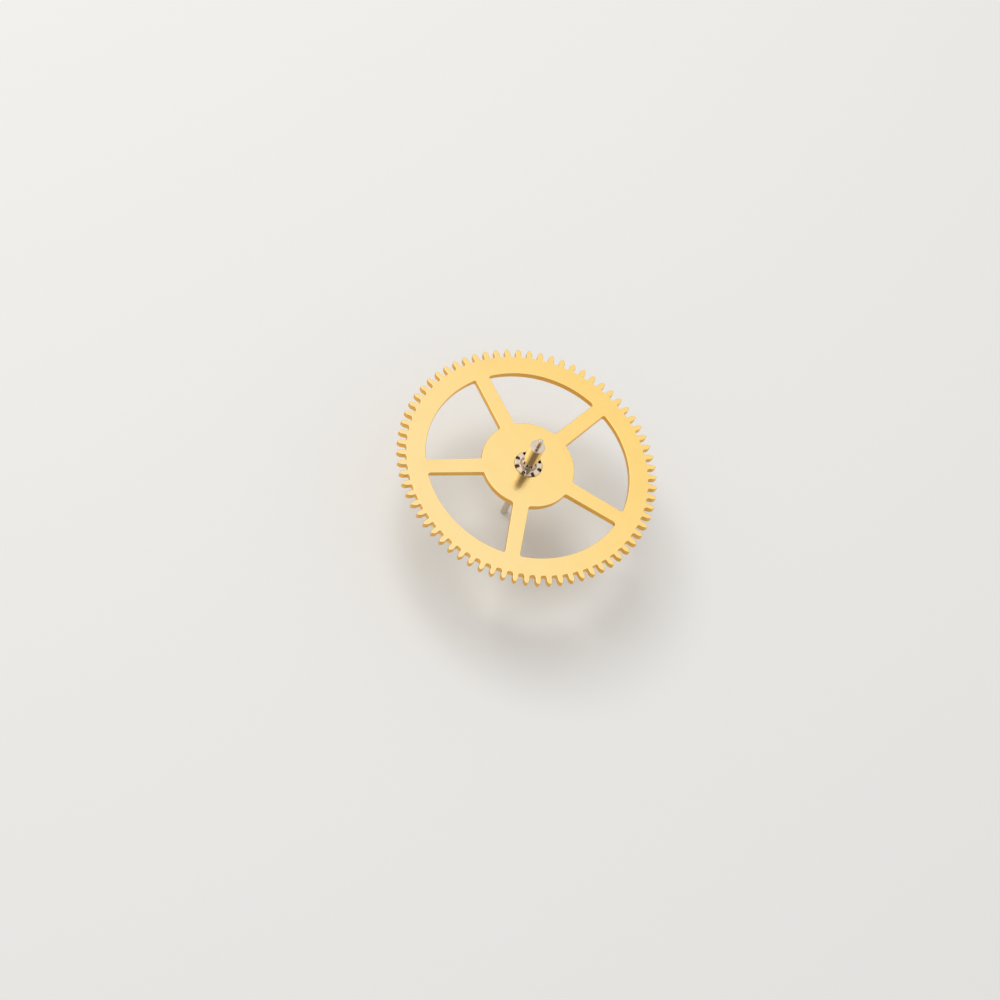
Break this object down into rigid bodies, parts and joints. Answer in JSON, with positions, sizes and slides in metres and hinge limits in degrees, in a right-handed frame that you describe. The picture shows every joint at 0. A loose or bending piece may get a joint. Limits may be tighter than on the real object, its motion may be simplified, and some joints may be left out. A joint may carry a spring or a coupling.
{
  "type": "watch second wheel",
  "caption": "Toothed and spoked watch wheel riveted to a pinion, on a steel arbor with two pivots, of which the long lower one carries the seconds hand.",
  "frame": {"origin": "centre of the wheel plate, on the arbor's axis and half way through the plate's thickness", "axes": "+Z along the arbor towards the upper pivot, which runs in the train bridge; +X along the middle of one spoke"},
  "size_m": [0.0088, 0.0088, 0.0048],
  "materials": {
    "gilt_brass": "gilded, fine flat grain on the rim and spokes, polished hub",
    "polished_steel": "hardened and polished, burnished pivots"
  },
  "bodies": {
    "root": {"wheel": "gilt_brass", "pinion": "polished_steel"}
  },
  "joints": []
}
